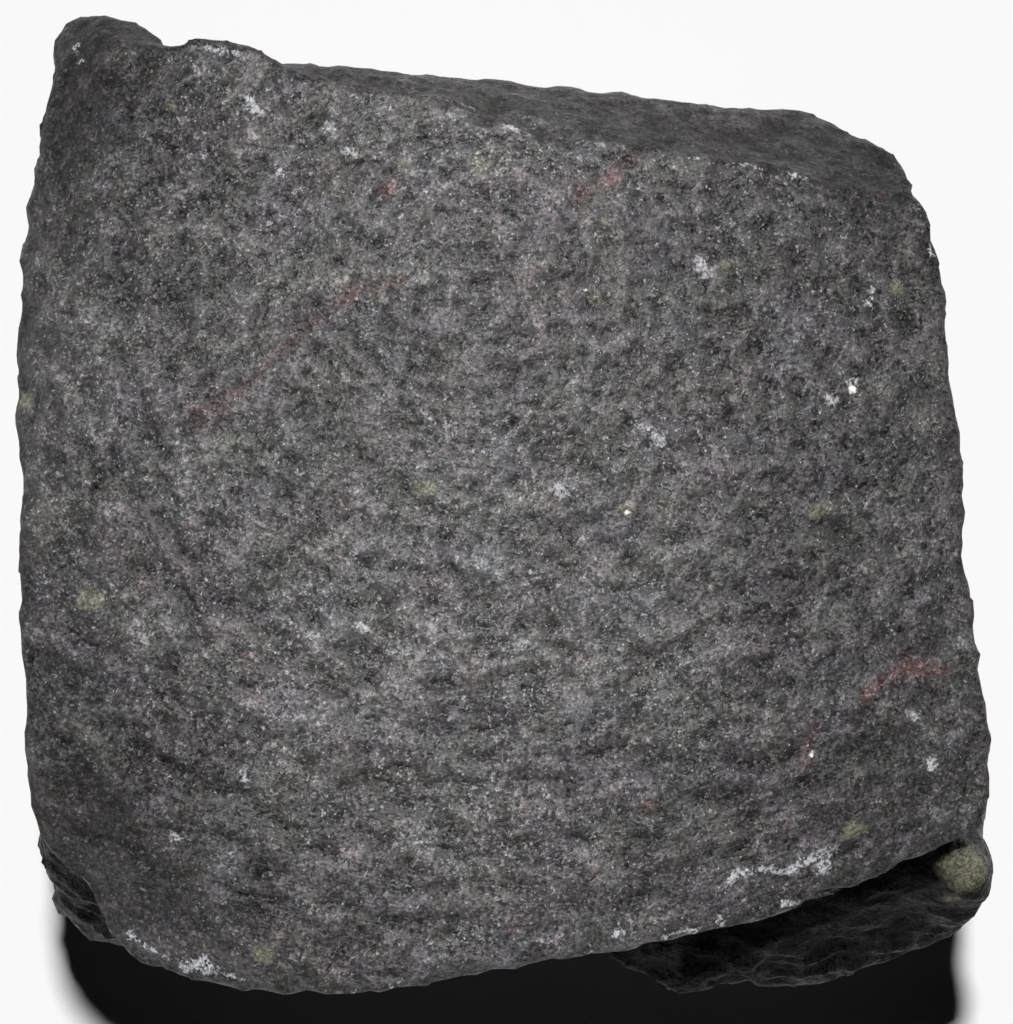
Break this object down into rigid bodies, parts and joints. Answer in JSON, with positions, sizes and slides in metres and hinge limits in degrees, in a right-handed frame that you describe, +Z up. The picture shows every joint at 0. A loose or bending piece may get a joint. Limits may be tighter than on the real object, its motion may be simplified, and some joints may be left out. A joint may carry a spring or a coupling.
{
  "type": "basalt hand specimen",
  "caption": "Blocky piece of dark fine-grained basalt with a broad rough upper fracture face, a bevelled rim, a ledge and a pale corner knob; lies on a small flat spot.",
  "frame": {"origin": "middle of the stone's bounding box in plan, on the ground that it lies on", "axes": "+X to the right across the broad upper face as the picture shows it, +Y towards the picture's upper edge, +Z up out of that face"},
  "size_m": [0.0818, 0.0836, 0.05],
  "materials": {
    "basalt": "dull, fresh rough fracture"
  },
  "bodies": {
    "root": {"basalt_stone": "basalt"}
  },
  "joints": []
}
